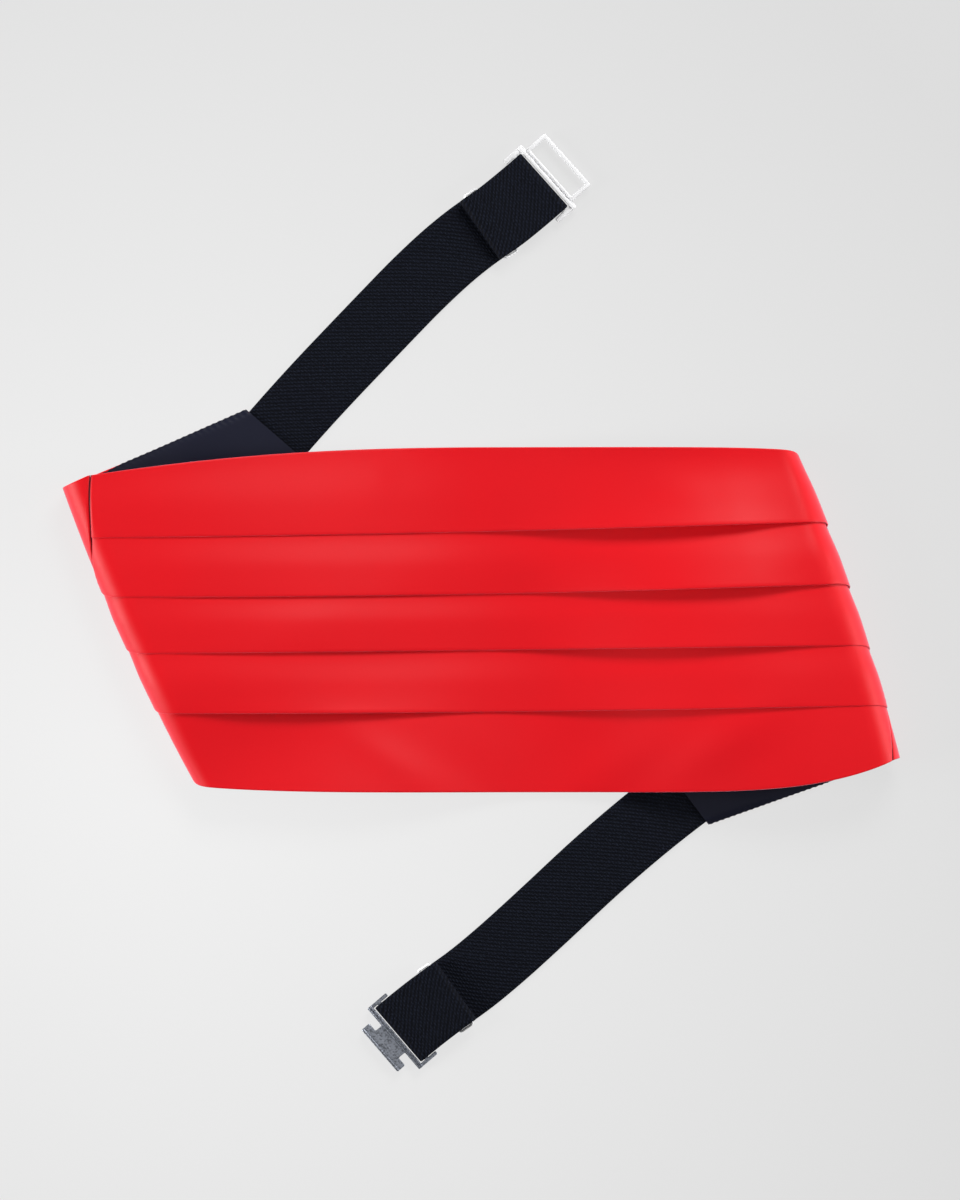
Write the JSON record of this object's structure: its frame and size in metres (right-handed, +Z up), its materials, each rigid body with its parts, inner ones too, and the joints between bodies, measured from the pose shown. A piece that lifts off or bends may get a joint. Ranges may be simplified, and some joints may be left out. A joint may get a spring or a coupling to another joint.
{
  "type": "cummerbund",
  "caption": "Pleated satin waist sash lying with both tapered ends folded behind, with adjustable elastic straps, sliders and a hook and eye clasp.",
  "frame": {"origin": "middle of the bounding box in plan, on the table that the sash lies on", "axes": "+X runs to the right along the pleats, +Y towards the upper edge where the strap with the eye leaves, +Z up from the table out of the pleated face"},
  "size_m": [0.299, 0.3349, 0.0247],
  "materials": {
    "red_satin": "satin",
    "navy_lining": "satin",
    "navy_elastic": "matte",
    "clasp_metal": "polished"
  },
  "bodies": {
    "root": {"pleated_front": "red_satin", "end_panel_left": "red_satin", "end_panel_right": "red_satin", "lining": "navy_lining", "elastic_left": "navy_elastic", "elastic_right": "navy_elastic", "slider_left": "clasp_metal", "slider_right": "clasp_metal", "clasp_eye": "clasp_metal", "clasp_hook": "clasp_metal"}
  },
  "joints": []
}
